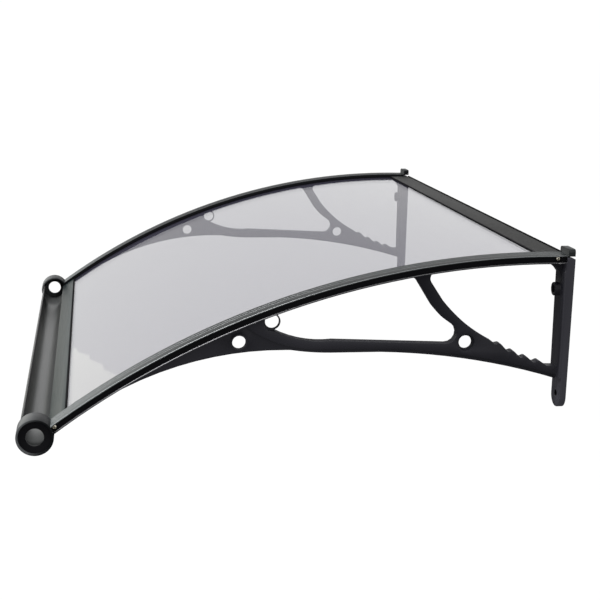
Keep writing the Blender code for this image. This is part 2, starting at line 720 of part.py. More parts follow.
def screw(name, place):
    """A pan-head screw along X, turned from its half profile, with a cross recess."""
    profile = [
        (0, HEAD_HEIGHT),
        (HEAD_RADIUS * 0.55, HEAD_HEIGHT * 0.94),
        (HEAD_RADIUS * 0.88, HEAD_HEIGHT * 0.62),
        (HEAD_RADIUS, 0),
        (SHANK_RADIUS, 0),
        (SHANK_RADIUS, -SHANK_LENGTH + 2 * SHANK_RADIUS),
        (0, -SHANK_LENGTH),
    ]
    work = bmesh.new()
    points = [work.verts.new((r, 0, z)) for r, z in profile]
    for a, b in zip(points, points[1:]):
        work.edges.new((a, b))
    mesh = bpy.data.meshes.new(name)
    work.to_mesh(mesh)
    work.free()
    head_seat = KERB_SETBACK - FIT
    place = Matrix.Translation((WIDTH / 2 - head_seat, *place)) @ Matrix.Rotation(math.pi / 2, 4, "Y")
    made = mesh_object(name, mesh, place, SCREW_METAL)
    turn = made.modifiers.new("turned", "SCREW")
    turn.axis = "Z"
    turn.angle = 2 * math.pi
    turn.steps = turn.render_steps = 20
    turn.use_merge_vertices = True
    turn.merge_threshold = 1e-5
    for angle in (math.pi / 4, -math.pi / 4):
        work = bmesh.new()
        bmesh.ops.create_cube(work, size=1)
        bmesh.ops.scale(work, vec=(RECESS_LENGTH, RECESS_WIDTH, 2 * RECESS_DEPTH), verts=work.verts)
        slot = bpy.data.meshes.new(f"{name}_slot")
        work.to_mesh(slot)
        work.free()
        turned = Matrix.Translation((0, 0, HEAD_HEIGHT)) @ Matrix.Rotation(angle, 4, "Z")
        cut(made, mesh_object(f"{name}_slot", slot, place @ turned))
    return made


# Sheet, gutter, wall profile and seals

def sheet():
    front = arc_angle(math.sqrt((RING_RADIUS + FIT) ** 2 - SHEET_DROP**2) + FIT)
    edge = KERB_SETBACK + KERB_THICKNESS + FIT
    band = roof_band(front, roof_angle(-END_WALL - FIT), SHEET_DROP, SHEET_DROP + SHEET_THICKNESS)
    return at_depth("roof_sheet", band, edge, WIDTH - edge, POLYCARBONATE)


def gutter():
    """One extrusion: an open trough whose rear edge carries two flanges that hold the sheet."""
    y, z = roof_point(RING_ANGLE, 0)
    flange_angle = math.asin((COVER_DEPTH - FLANGE_THICKNESS / 2) / GUTTER_RADIUS)
    sweep = 2 * math.pi + RING_ANGLE - flange_angle - GUTTER_LIP_ANGLE
    angles = [GUTTER_LIP_ANGLE + sweep * i / GUTTER_STEPS for i in range(GUTTER_STEPS + 1)]
    inner = GUTTER_RADIUS - GUTTER_WALL
    trough = [(y + GUTTER_RADIUS * math.cos(a), z + GUTTER_RADIUS * math.sin(a)) for a in angles]
    trough += [(y + inner * math.cos(a), z + inner * math.sin(a)) for a in reversed(angles)]
    end = RING_RECESS + RING_PLATE + FIT
    made = at_depth("front_gutter", trough, end, WIDTH - end, GUTTER_GREY)
    middle = GUTTER_RADIUS - BEAD_RADIUS
    bead = (y + middle * math.cos(GUTTER_LIP_ANGLE), z + middle * math.sin(GUTTER_LIP_ANGLE))
    upper_ends = arc_angle(FLANGE_START), arc_angle(FLANGE_END)
    lower_ends = arc_angle(LOWER_FLANGE_START), arc_angle(LOWER_FLANGE_END)
    upper = roof_band(*upper_ends, COVER_DEPTH - FLANGE_THICKNESS, COVER_DEPTH)
    lower = roof_band(*lower_ends, LEDGE_DROP, LEDGE_DROP + LOWER_FLANGE_THICKNESS)
    join(
        made,
        round_bar("gutter_bead", bead, BEAD_RADIUS, end, WIDTH - end, 16),
        extruded("gutter_upper_flange", upper, -INNER_HALF, INNER_HALF),
        extruded("gutter_lower_flange", lower, -INNER_HALF, INNER_HALF),
    )
    return made


def wall_profile():
    """One extrusion: a flat cover over the sheet, a lip below it and a flange against the wall."""
    bottom = ROOF_CREST_Z - COVER_DEPTH
    top = bottom + PROFILE_THICKNESS
    lip = roof_height(-END_WALL, SHEET_DROP + SHEET_THICKNESS) - FIT
    seat = top - WALL_SEAL_SEAT
    outline = [
        (0, PROFILE_BOTTOM_Z),
        (0, seat),
        (-WALL_SEAL_DEPTH - FIT, seat),
        (-WALL_SEAL_DEPTH - FIT, top),
        (-PROFILE_DEPTH, top),
        (-PROFILE_DEPTH, bottom),
        (-PROFILE_BACK, bottom),
        (-PROFILE_BACK, lip),
        (-PROFILE_LIP, lip),
        (-PROFILE_LIP, lip - PROFILE_LIP_THICKNESS),
        (-PROFILE_FLANGE, lip - PROFILE_LIP_THICKNESS),
        (-PROFILE_FLANGE, PROFILE_BOTTOM_Z),
    ]
    made = extruded("wall_profile", outline, -INNER_HALF, INNER_HALF, PROFILE_GREY)
    for side, x in (("left", -PROFILE_HOLE_X), ("right", PROFILE_HOLE_X)):
        size = (PROFILE_HOLE_RADIUS, PROFILE_FLANGE + OVERSHOOT, -OVERSHOOT, 20)
        cut(made, wall_bar(f"profile_hole_{side}", x, PROFILE_HOLE_Z, *size))
    return made


def seal_strip(name, outline):
    return extruded(name, outline, -INNER_HALF, INNER_HALF, BLACK_RUBBER)


def seals():
    front = arc_angle(FLANGE_END + FIT)
    back = front - SEAL_WIDTH / ROOF_RADIUS
    seal_strip("front_seal", roof_band(front, back, COVER_DEPTH - FLANGE_THICKNESS, COVER_DEPTH))
    bottom = ROOF_CREST_Z - COVER_DEPTH
    top = bottom + PROFILE_THICKNESS
    near, far = -PROFILE_DEPTH - FIT, -PROFILE_DEPTH - FIT - SEAL_WIDTH
    seal_strip("rear_seal", [(near, bottom), (near, top), (far, top), (far, bottom)])
    low = top - WALL_SEAL_SEAT + FIT
    high = low + WALL_SEAL_HEIGHT
    seal_strip("wall_seal", [(0, low), (0, high), (-WALL_SEAL_DEPTH, high), (-WALL_SEAL_DEPTH, low)])


def shade(obj):
    obj.data.shade_smooth()
    obj.data.set_sharp_from_angle(angle=math.radians(30))


def main():
    right_pieces = [bracket(), cover_strip(), cover_pad()]
    right_pieces += [screw(f"{end}_screw_right", place) for end, place in screw_places().items()]
    for piece in right_pieces:
        mirrored(piece, piece.name.replace("right", "left"))
    sheet()
    gutter()
    wall_profile()
    seals()
    for obj in PARTS.objects:
        shade(obj)


main()
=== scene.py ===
# %% [markdown]
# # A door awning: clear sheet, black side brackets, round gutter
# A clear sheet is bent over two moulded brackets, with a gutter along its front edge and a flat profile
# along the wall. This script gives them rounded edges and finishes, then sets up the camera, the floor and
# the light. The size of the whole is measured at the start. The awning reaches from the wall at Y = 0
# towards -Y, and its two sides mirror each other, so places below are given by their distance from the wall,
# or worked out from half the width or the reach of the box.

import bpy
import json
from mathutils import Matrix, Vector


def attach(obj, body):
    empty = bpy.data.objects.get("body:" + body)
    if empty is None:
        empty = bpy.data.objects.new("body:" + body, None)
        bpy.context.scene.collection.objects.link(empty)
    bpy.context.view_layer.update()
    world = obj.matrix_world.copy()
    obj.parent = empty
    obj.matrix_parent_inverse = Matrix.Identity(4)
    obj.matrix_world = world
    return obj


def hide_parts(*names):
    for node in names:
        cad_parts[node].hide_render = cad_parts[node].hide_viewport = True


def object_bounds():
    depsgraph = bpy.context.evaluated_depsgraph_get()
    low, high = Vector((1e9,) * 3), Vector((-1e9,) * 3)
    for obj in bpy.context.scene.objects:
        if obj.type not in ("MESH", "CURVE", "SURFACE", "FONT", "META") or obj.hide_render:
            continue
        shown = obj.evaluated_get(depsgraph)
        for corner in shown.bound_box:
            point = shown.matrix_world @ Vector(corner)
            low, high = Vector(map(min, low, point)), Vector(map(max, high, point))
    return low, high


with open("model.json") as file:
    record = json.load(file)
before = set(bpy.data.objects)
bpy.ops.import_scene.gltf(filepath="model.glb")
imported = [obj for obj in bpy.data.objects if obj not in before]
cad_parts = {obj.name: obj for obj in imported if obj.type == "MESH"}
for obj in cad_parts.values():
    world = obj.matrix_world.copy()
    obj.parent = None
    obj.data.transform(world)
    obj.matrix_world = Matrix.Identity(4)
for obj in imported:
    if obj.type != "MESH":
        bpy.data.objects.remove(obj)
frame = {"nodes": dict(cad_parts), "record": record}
size_before = [list(corner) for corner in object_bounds()]

import json
import math

import bmesh
import bpy
from mathutils import Matrix, Vector
from mathutils.kdtree import KDTree

HALF_WIDTH = size_before[1][0]
FRONT = -size_before[0][1]
print("pieces in the frame:", len(frame["nodes"]), "half width:", HALF_WIDTH, "reach:", FRONT)

# %% [markdown]
# ## Camera
# The eye stands about 2.2 m from the middle of the awning, beside it and a little above it, so the right-hand
# bracket is nearest and the roof is seen from above. Two directions were fitted to the outlines of the
# brackets, right and down in the picture, and their cross product is the line of sight. A camera could also
# be turned by three angles, but a matrix made of the directions themselves can be read and checked.

# %% Camera
EYE = Vector((2.1512, -0.6772, 0.3209))
PICTURE_RIGHT = Vector((0.16217, 0.98647, 0.02403))
PICTURE_DOWN = Vector((0.21727, -0.01195, -0.97604))
SENSOR = 36.0
LENS = 74.57


def make_camera():
    """A camera at the eye, which looks along its own negative Z with its Y pointing up in the picture."""
    data = bpy.data.cameras.new("camera")
    data.lens, data.sensor_width = LENS, SENSOR
    camera = bpy.data.objects.new("camera", data)
    ahead = PICTURE_RIGHT.cross(PICTURE_DOWN)
    turn = Matrix((PICTURE_RIGHT, -PICTURE_DOWN, -ahead)).transposed().to_4x4()
    camera.matrix_world = Matrix.Translation(EYE) @ turn
    bpy.context.scene.collection.objects.link(camera)
    bpy.context.scene.camera = camera
    return camera


camera = make_camera()
print("camera at", tuple(round(v, 3) for v in camera.matrix_world.translation))

# %% [markdown]
# ## Shader sums in plain Python
# A node tree for "0.4 + 0.1 * noise" takes three nodes and two links. The first class below wraps a socket,
# so that the same sum can be written as a sum: each sign adds its own Math node. The second makes any node
# with one method, which sets the node's own settings first, then the values or links of its sockets.

# %% Wires
class Wire:
    """A node's output, which each sign sends through a Math node of its own."""

    def __init__(self, tree, socket):
        self.tree, self.socket = tree, socket

    def math(self, operation, first, second=0.0):
        return self.tree.node("ShaderNodeMath", {"operation": operation}, {0: first, 1: second})

    def __add__(self, other):
        return self.math("ADD", self, other)

    def __sub__(self, other):
        return self.math("SUBTRACT", self, other)

    def __rsub__(self, other):
        return self.math("SUBTRACT", other, self)

    def __mul__(self, other):
        return self.math("MULTIPLY", self, other)

    def __pow__(self, other):
        return self.math("POWER", self, other)

    def __abs__(self):
        return self.math("ABSOLUTE", self)

    def larger(self, other):
        return self.math("MAXIMUM", self, other)

    def smaller(self, other):
        return self.math("MINIMUM", self, other)

    __radd__, __rmul__ = __add__, __mul__


print("a wire can be added, multiplied and compared")

# %% Trees
class Tree:
    """The nodes of a material or of the world."""

    def __init__(self, owner):
        owner.use_nodes = True
        self.tree = owner.node_tree

    def node(self, kind, settings=None, inputs=None, output=0):
        """Makes a node: first its settings, then the values or links of its sockets."""
        made = self.tree.nodes.new(kind)
        for name, value in (settings or {}).items():
            setattr(made, name, value)
        for name, value in (inputs or {}).items():
            self.feed(made.inputs[name], value)
        return Wire(self, made.outputs[output])

    def feed(self, socket, value):
        if isinstance(value, Wire):
            self.tree.links.new(value.socket, socket)
        else:
            socket.default_value = value

    def rise(self, distance, start, end, low=0.0, high=1.0):
        """A value that goes smoothly from low at start to high at end."""
        inputs = {"Value": distance, "From Min": start, "From Max": end, "To Min": low, "To Max": high}
        return self.node("ShaderNodeMapRange", {"interpolation_type": "SMOOTHSTEP"}, inputs)


print("a tree makes its nodes with one method")

# %% [markdown]
# ## Finishes
# A finish is a material round a Principled shader. What is the same all over goes straight onto the shader's
# sockets, and only what changes over the surface gets nodes. Every pattern starts from Object coordinates,
# which are metres here, so a noise keeps its size on every piece. A fade goes by the distance from the middle
# of the awning, from the wall or from the origin's height, so that both sides get the same finish. A Mix node
# has sockets for numbers and vectors too, so its colour sockets are called by their numbers. The record names
# a material slot for each node of the CAD, and each finish is kept under its slot.

# %% Materials with patterns
SIDEWAYS, FROM_WALL, HEIGHT = 0, 1, 2
MIX_SHARE, MIX_LOW, MIX_HIGH, MIX_RESULT = 0, 6, 7, 2


class Finish(Tree):
    """A material whose Principled shader gets its fixed values first and its patterns after."""

    def __init__(self, name, **fixed):
        self.material = bpy.data.materials.new(name)
        super().__init__(self.material)
        self.shader = self.tree.nodes["Principled BSDF"]
        for socket, value in fixed.items():
            self.shader.inputs[socket.replace("_", " ")].default_value = value

    def out(self, socket, value):
        self.feed(self.shader.inputs[socket], value)

    def place(self, stretch=(1.0, 1.0, 1.0)):
        """Object coordinates, squeezed along each axis."""
        where = self.node("ShaderNodeTexCoord", output="Object")
        return self.node("ShaderNodeMapping", inputs={"Vector": where, "Scale": stretch})

    def noise(self, where, scale, detail=2.0, roughness=0.5):
        inputs = {"Vector": where, "Scale": scale, "Detail": detail, "Roughness": roughness}
        return self.node("ShaderNodeTexNoise", inputs=inputs)

    def between(self, share, low, high):
        """A colour that goes from low to high as share goes from 0 to 1; either may itself be a pattern."""
        ends = [colour if isinstance(colour, Wire) else (*colour, 1.0) for colour in (low, high)]
        inputs = {MIX_SHARE: share, MIX_LOW: ends[0], MIX_HIGH: ends[1]}
        return self.node("ShaderNodeMix", {"data_type": "RGBA"}, inputs, output=MIX_RESULT)

    def along(self, axis):
        """The distance from the origin along one axis."""
        return abs(self.node("ShaderNodeSeparateXYZ", inputs={0: self.place()}, output=axis))

    def fade(self, axis, band):
        """A share that goes from 0 to 1 where the distance along an axis goes through a band."""
        return self.rise(self.along(axis), *band)

    def bump(self, height, distance, strength):
        inputs = {"Height": height, "Distance": distance, "Strength": strength}
        self.out("Normal", self.node("ShaderNodeBump", inputs=inputs))


print("a fade can go by axis", SIDEWAYS, FROM_WALL, "or", HEIGHT)

# %% Finishes by slot
SLOT_OF = {piece["node"]: piece["material_slot"] for piece in frame["record"]["subparts"]}
FINISHES = {}


def keep(slot, material):
    """Keeps a finish for the pieces with this material slot in the CAD."""
    FINISHES[slot] = material
    print(slot, "gets", material.name, "with", len(material.node_tree.nodes), "nodes")


print("slots to finish:", ", ".join(sorted(set(SLOT_OF.values()))))

# %% [markdown]
# ## Moulded black plastic
# The brackets are injection moulded. The mould leaves an even, very fine grain, so the gloss is broken up
# and the black looks soft. The grain is a bump of a fraction of a tenth of a millimetre, and a much larger,
# fainter noise varies the roughness, as handling and cooling do. The post's narrow front looks darker than
# its sides, the web lighter towards the front, and the end ring lightest at its front wall. A lamp that gave
# one
# of these faces its tone would spoil another's, so this light and shade is painted into the base colour:
# painted shade on the post's front, painted light on its sides and on the web lower down and away from the
# wall, and painted light on the ring's front wall.

# %% Bracket plastic
WEB_HEIGHT = (0.05, 0.15)
WEB_REACH = (0.15, 0.42)
POST_FACE = (0.0120, 0.0150)
POST_HEIGHT = (0.05, 0.20)
POST_END = (0.017, 0.024)
RING_START = (FRONT - 0.0635, FRONT - 0.0555)
RING_WALL = (FRONT - 0.0375, FRONT - 0.0015)
BODY_BLACKS_AND_PAINTED_LIGHT = ((0.0025, 0.0025, 0.0042), (0.0315, 0.0310, 0.0385))
RING_PAINTED_LIGHT_BLACKS = ((0.001, 0.0015, 0.002), (0.060, 0.063, 0.065))


def bracket_plastic():
    paint = Finish("moulded_black_plastic", IOR=1.45, Specular_IOR_Level=0.20)
    here = paint.place()
    cloud = paint.noise(here, scale=9.0, detail=3.0)
    grain = paint.noise(here, scale=1500.0, roughness=0.6)
    # Painted light and shade in the base colour: the web lighter lower down and away from the wall, the
    # post's front darker, its sides lighter lower down, and the ring lighter towards its front wall.
    web = 0.2 * paint.fade(HEIGHT, WEB_HEIGHT) + 0.3 * paint.fade(FROM_WALL, WEB_REACH)
    post_front_painted_shade = 1.0 - 0.8 * paint.fade(FROM_WALL, POST_FACE)
    post_side_painted_light = 0.60 + 0.40 * paint.fade(HEIGHT, POST_HEIGHT)
    post = post_side_painted_light * post_front_painted_shade - 4.0 * paint.fade(FROM_WALL, POST_END)
    body = paint.between(0.8 * web.larger(post) + 0.2 * cloud, *BODY_BLACKS_AND_PAINTED_LIGHT)
    ring = paint.between(paint.fade(FROM_WALL, RING_WALL), *RING_PAINTED_LIGHT_BLACKS)
    paint.out("Base Color", paint.between(paint.fade(FROM_WALL, RING_START), body, ring))
    paint.out("Roughness", 0.36 + 0.10 * cloud + 0.05 * grain)
    paint.bump(grain, distance=0.00006, strength=0.6)
    return paint.material


keep("bracket_plastic", bracket_plastic())

# %% [markdown]
# ## Painted highlights on edges and painted shade in corners
# A rounded moulded edge shows as a thin light line. A pattern that finds edges by itself would light all of
# them, so the line is a painted highlight: a second material on chosen faces, lighter towards the front.
# Where next to no light gets in, under the strip and in the screw holes, the same black gets painted shade,
# which makes it look matt and deep, and this too is a material of its own.

# %% Second materials of the brackets and strips
TIP_REACH = (0.62, 0.67)
LEDGE_REACH = (0.40, 0.52)
STRIP_REACH = (0.20, 0.60)
LEDGE_HIGHLIGHT_GREYS = ((0.025, 0.025, 0.026), (0.22, 0.22, 0.225))
STRIP_HIGHLIGHT_GREYS = ((0.050, 0.053, 0.054), (0.17, 0.18, 0.182))
SHADED_BLACKS = ((0.0025, 0.0025, 0.0030), (0.0045, 0.0045, 0.0055))


def painted_highlight_edge(name, greys, reach, tip_loss=0.0):
    """A painted highlight, lighter through this reach from the wall, and dimmed by tip_loss at the very
    front.
    """
    paint = Finish(name, IOR=1.45, Specular_IOR_Level=0.4)
    highlight_noise = paint.noise(paint.place((1.0, 0.2, 0.2)), scale=120.0, detail=3.0)
    painted_highlight = paint.fade(FROM_WALL, reach) - tip_loss * paint.fade(FROM_WALL, TIP_REACH)
    paint.out("Base Color", paint.between(0.2 * highlight_noise + 0.8 * painted_highlight, *greys))
    paint.out("Roughness", 0.30 + 0.15 * highlight_noise)
    return paint.material


def shaded_plastic():
    # Painted shade: a deep, matt black for places where next to no light gets in.
    paint = Finish("painted_shade_plastic", IOR=1.45, Specular_IOR_Level=0.06)
    grain = paint.noise(paint.place(), scale=1500.0, roughness=0.6)
    paint.out("Base Color", paint.between(grain, *SHADED_BLACKS))
    paint.out("Roughness", 0.70 + 0.15 * grain)
    return paint.material


shaded = shaded_plastic()
ledge_highlight = painted_highlight_edge("painted_highlight_ledge_edge", LEDGE_HIGHLIGHT_GREYS, LEDGE_REACH, tip_loss=0.75)
strip_highlight = painted_highlight_edge("painted_highlight_strip_edge", STRIP_HIGHLIGHT_GREYS, STRIP_REACH)
print("second materials:", shaded.name, ledge_highlight.name, strip_highlight.name)

# %% [markdown]
# ## Extruded plastic of the cover strips
# The strips over the sheet's edges are drawn through a die, so their marks run along them. The noise is
# stretched along the roof: fine across the strip, long down its length. It could be mapped with a UV map, but
# the roof is so shallow that plain coordinates do. The strip turns down at the front and looks ever lighter
# there, so this light is painted into its base colour, and the power of three keeps this rise near its end.

# %% Cover strip plastic
STRIP_FRONT = (0.35, 0.85)
STRIP_BLACKS_AND_PAINTED_LIGHT = ((0.002, 0.0025, 0.0027), (0.110, 0.120, 0.122))


def cover_plastic():
    paint = Finish("extruded_black_plastic", IOR=1.46, Specular_IOR_Level=0.08)
    lines = paint.noise(paint.place((1.0, 0.02, 0.02)), scale=900.0)
    cloud = paint.noise(paint.place(), scale=7.0)
    # Painted light: the base colour grows lighter where the strip turns down at the front.
    front = paint.fade(FROM_WALL, STRIP_FRONT)
    share = 0.10 * lines + 0.05 * cloud + 0.85 * front ** 3
    paint.out("Base Color", paint.between(share, *STRIP_BLACKS_AND_PAINTED_LIGHT))
    paint.out("Roughness", 0.36 + 0.12 * lines)
    paint.bump(lines, distance=0.00003, strength=0.4)
    return paint.material


keep("cover_plastic", cover_plastic())

# %% [markdown]
# ## Polycarbonate sheet
# The sheet is a closed solid, so the eye looks through two of its faces. With an alpha of about 0.42, each
# lets a little more than half of what lies behind it through, and the two together about a third. The rest is
# the sheet's own surface: a dark, faintly lilac base, and a mirror image of the sky, which is strong because
# the eye looks along the roof at a flat angle. A glass shader would bend the view of the far bracket and need
# many more bounces of light. The roughness is very low, with faint smears.

# %% Sheet
SHEET_TINTS = ((0.046, 0.044, 0.065), (0.054, 0.052, 0.073))


def sheet_plastic():
    paint = Finish("clear_polycarbonate", IOR=1.58, Specular_IOR_Level=0.5)
    cloud = paint.noise(paint.place((1.0, 0.6, 0.6)), scale=3.0, detail=3.0)
    fine = paint.noise(paint.place(), scale=60.0)
    paint.out("Base Color", paint.between(cloud, *SHEET_TINTS))
    paint.out("Roughness", 0.02 + 0.03 * fine)
    paint.out("Alpha", 0.415 + 0.02 * cloud)
    return paint.material


keep("polycarbonate", sheet_plastic())

# %% [markdown]
# ## Coated aluminium
# The gutter has a smooth black coat with faint lines along it, and the flat profile at the wall a coarser,
# sandy one. Both coats are paint, so the metal itself doesn't show and the shader isn't a metallic one. The
# round trough is glossier than the flange beside it, so the flange gets the same coat with less gloss and
# less colour. The trough is dull near the end rings, and painted shade darkens the inside of its front wall.

# %% Gutter coat and profile coat
TROUGH_START = (FRONT - 0.0495, FRONT - 0.0405)
TROUGH_FRONT = (FRONT - 0.0165, FRONT - 0.0065)
TROUGH_END = (HALF_WIDTH - 0.100, HALF_WIDTH - 0.035)
TROUGH_BLACKS = ((0.001, 0.001, 0.001), (0.0235, 0.0255, 0.0255))
FLANGE_BLACKS = ((0.000, 0.0020, 0.0025), (0.0045, 0.0110, 0.0125))
PROFILE_BLACKS = ((0.0, 0.0, 0.0), (0.024, 0.024, 0.0235))


def gutter_coat(name, gloss, blacks):
    paint = Finish(name, IOR=1.5, Specular_IOR_Level=gloss)
    lines = paint.noise(paint.place((0.02, 1.0, 1.0)), scale=700.0)
    cloud = paint.noise(paint.place(), scale=12.0)
    trough = paint.fade(FROM_WALL, TROUGH_START)
    near_end = paint.fade(SIDEWAYS, TROUGH_END) * trough
    # Painted shade on the inside of the trough's front wall.
    front_wall_painted_shade = paint.fade(FROM_WALL, TROUGH_FRONT)
    share = (0.35 + 0.35 * lines + 0.35 * cloud) * (1.0 - 0.9 * front_wall_painted_shade)
    paint.out("Base Color", paint.between(share, *blacks))
    paint.out("Roughness", 0.37 + 0.12 * lines - 0.12 * trough + 0.60 * near_end)
    paint.bump(lines, distance=0.00003, strength=0.3)
    return paint.material


def profile_coat():
    paint = Finish("sandy_dark_coat", IOR=1.5, Specular_IOR_Level=0.10)
    here = paint.place()
    grain = paint.noise(here, scale=300.0, detail=3.0, roughness=0.65)
    cloud = paint.noise(here, scale=10.0)
    paint.out("Base Color", paint.between(1.6 * grain + 0.2 * cloud - 0.4, *PROFILE_BLACKS))
    paint.out("Roughness", 0.55 + 0.12 * grain)
    paint.bump(grain, distance=0.00015, strength=0.7)
    return paint.material


keep("gutter_aluminium", gutter_coat("gutter_coat", 0.36, TROUGH_BLACKS))
keep("profile_aluminium", profile_coat())
flange_coat = gutter_coat("flange_coat", 0.18, FLANGE_BLACKS)
print("the gutter's flange gets", flange_coat.name)

# %% [markdown]
# ## Rubber and screws
# The seals are rubber, nearly black and matt, with a little dust in the grain. The screws are plated, pale
# and slightly yellow, with very fine brush marks. The arms of the cross recess in each head are less than a
# millimetre wide, so a small picture hardly shows them, while the middle of the head looks black. So the
# shade of the recess is painted: the plating turns black near each screw's axis, which is measured from the
# frame.

# %% Rubber and screw metal
RECESS_SHADE_REACH = (0.0009, 0.0014)
RUBBER_BLACKS = ((0.0015, 0.0015, 0.0020), (0.0045, 0.0045, 0.0050))
PLATING_AND_RECESS_SHADE = ((0.02, 0.02, 0.02), (0.80, 0.76, 0.64))


def seal_rubber():
    paint = Finish("seal_rubber", Specular_IOR_Level=0.04)
    dust = paint.noise(paint.place(), scale=300.0, detail=3.0)
    paint.out("Base Color", paint.between(dust, *RUBBER_BLACKS))
    paint.out("Roughness", 0.80 + 0.12 * dust)
    paint.bump(dust, distance=0.00005, strength=0.5)
    return paint.material


def screw_axis(node):
    """How far a screw's axis, which runs along X, lies from the origin along Y and along Z."""
    places = [vertex.co for vertex in frame["nodes"][node].data.vertices]
    return [abs(sum(place[axis] for place in places) / len(places)) for axis in (FROM_WALL, HEIGHT)]


def screw_plating():
    paint = Finish("screw_plating", Metallic=1.0)
    brushed = paint.noise(paint.place(), scale=2200.0)
    # Painted shade of the cross recess: the plating turns black near each screw's axis.
    squares = []
    for y, z in (screw_axis("front_screw_right"), screw_axis("rear_screw_right")):
        squares.append((paint.along(FROM_WALL) - y) ** 2 + (paint.along(HEIGHT) - z) ** 2)
    outside_recess_shade = paint.rise(squares[0].smaller(squares[1]), *(reach ** 2 for reach in RECESS_SHADE_REACH))
    paint.out("Base Color", paint.between((0.75 + 0.25 * brushed) * outside_recess_shade, *PLATING_AND_RECESS_SHADE))
    paint.out("Roughness", 0.22 + 0.14 * brushed)
    return paint.material


keep("seal_rubber", seal_rubber())
keep("screw_steel", screw_plating())

# %% [markdown]
# ## A finish for every node
# The nodes that keep their own mesh, which are the sheet, the seals, the pads and the screws, get their
# finish here by slot, and the rounded copies made below look theirs up in the same way.

# %% Finishes on the nodes
for name, node in frame["nodes"].items():
    node.data.materials.clear()
    node.data.materials.append(FINISHES[SLOT_OF[name]])
print("finishes:", ", ".join(FINISHES))

# %% [markdown]
# ## Rounding the edges of a solid
# CAD edges are perfectly sharp, and real ones never are: a moulded edge has a radius that catches a thin
# line of light. A Bevel modifier can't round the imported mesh, because its triangles are loose and share no
# edges. So a copy of each solid is cleaned first: its doubles are merged and its flat faces made whole. Then
# the sharp edges are bevelled, and only those.

# %% A clean copy of a solid
SMOOTH_BELOW = math.radians(28)
FLAT_BELOW = math.radians(0.5)
MERGE_WITHIN = 2e-6
SLIVER = 0.0005
PASSES = 2


def whole(node):
    """The node's mesh as a bmesh, with its triangles merged back into flat faces."""
    work = bmesh.new()
    work.from_mesh(frame["nodes"][node].data)
    bmesh.ops.remove_doubles(work, verts=work.verts, dist=MERGE_WITHIN)
    for _ in range(PASSES):
        bmesh.ops.dissolve_limit(work, angle_limit=FLAT_BELOW, verts=work.verts, edges=work.edges)
        bmesh.ops.dissolve_degenerate(work, dist=SLIVER, edges=work.edges)
    work.normal_update()
    return work


def sharp_edges(work):
    return [e for e in work.edges if len(e.link_faces) == 2 and e.calc_face_angle() > SMOOTH_BELOW]


def bevel(work, edges, width, segments=2):
    bmesh.ops.bevel(
        work,
        geom=edges,
        offset=width,
        offset_type="OFFSET",
        segments=segments,
        profile=0.5,
        affect="EDGES",
        clamp_overlap=False,
        material=-1,
    )
    work.normal_update()


print("edges sharper than", round(math.degrees(SMOOTH_BELOW)), "degrees are rounded")

# %% [markdown]
# ## Edges with room for a bevel
# Where two sharp edges run closer together than their bevels are wide, the bevels fold over each other and
# leave torn faces. Bevel's own clamp would shrink every bevel of the piece to what its tightest corner bears.
# Here the sharp edges are sorted into smooth curves, and an edge is left sharp if another curve that it
# doesn't touch comes too close.

# %% Which edges have room
CHAIN_TURN = math.radians(60)
SAMPLE = 0.0015


def curves_of(edges):
    """Numbers the edges: those that follow one smooth curve get the same number."""
    meeting = {}
    for edge in edges:
        for vertex in edge.verts:
            meeting.setdefault(vertex, []).append(edge)
    number = {}
    for first in edges:
        if first in number:
            continue
        number[first] = first.index
        waiting = [first]
        while waiting:
            edge = waiting.pop()
            for vertex in edge.verts:
                others = [e for e in meeting[vertex] if e is not edge]
                if len(others) != 1 or others[0] in number:
                    continue
                here, there = (e.other_vert(vertex).co - vertex.co for e in (edge, others[0]))
                if here.angle(there) > math.pi - CHAIN_TURN:
                    number[others[0]] = first.index
                    waiting.append(others[0])
    touching = {e: {number[o] for v in e.verts for o in meeting[v]} for e in edges}
    return number, touching


def places_on(edge):
    """Places along an edge, no further apart than SAMPLE, with its ends among them."""
    a, b = (v.co for v in edge.verts)
    count = max(2, math.ceil(edge.calc_length() / SAMPLE))
    return [a.lerp(b, i / count) for i in range(count + 1)]


def with_room(edges, least):
    """Leaves out the edges that run closer than this to another curve."""
    number, touching = curves_of(edges)
    samples = [(place, edge) for edge in edges for place in places_on(edge)]
    tree = KDTree(len(samples))
    for i, (place, _) in enumerate(samples):
        tree.insert(place, i)
    tree.balance()

    def crowded(edge):
        near = (i for place in places_on(edge)[1:-1] for _, i, _ in tree.find_range(place, least))
        return any(number[samples[i][1]] not in touching[edge] for i in near)

    return [edge for edge in edges if not crowded(edge)]


print("places are compared every", SAMPLE, "m")

# %% [markdown]
# ## From a bmesh to a piece
# A finished copy stands in the picture for the CAD node that it replaces, which is hidden. It rides on the
# body root and takes the finish kept for the node's material slot. Faces with more than four corners are cut
# into triangles here, so that they are always cut in the same way. Shading is smooth, except across edges
# that are still sharper than the limit.

# %% Pieces
def give_material(faces, index):
    """Gives these faces one of the piece's further materials, and says how many they are."""
    for face in faces:
        face.material_index = index
    return len(faces)


def piece_from(work, name, node, extra=()):
    """Finishes a bmesh as an object that stands for this CAD node, with extra materials after its own."""
    bmesh.ops.triangulate(work, faces=[f for f in work.faces if len(f.verts) > 4])
    mesh = bpy.data.meshes.new(name)
    work.to_mesh(mesh)
    work.free()
    mesh.shade_smooth()
    mesh.set_sharp_from_angle(angle=SMOOTH_BELOW)
    made = bpy.data.objects.new(name, mesh)
    bpy.context.scene.collection.objects.link(made)
    mesh.materials.append(FINISHES[SLOT_OF[node]])
    for material in extra:
        mesh.materials.append(material)
    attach(made, "root")
    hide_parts(node)
    print(f"{name}: {sum(len(p.vertices) - 2 for p in mesh.polygons)} triangles")


print("a piece has its own finish, and further ones on chosen faces")

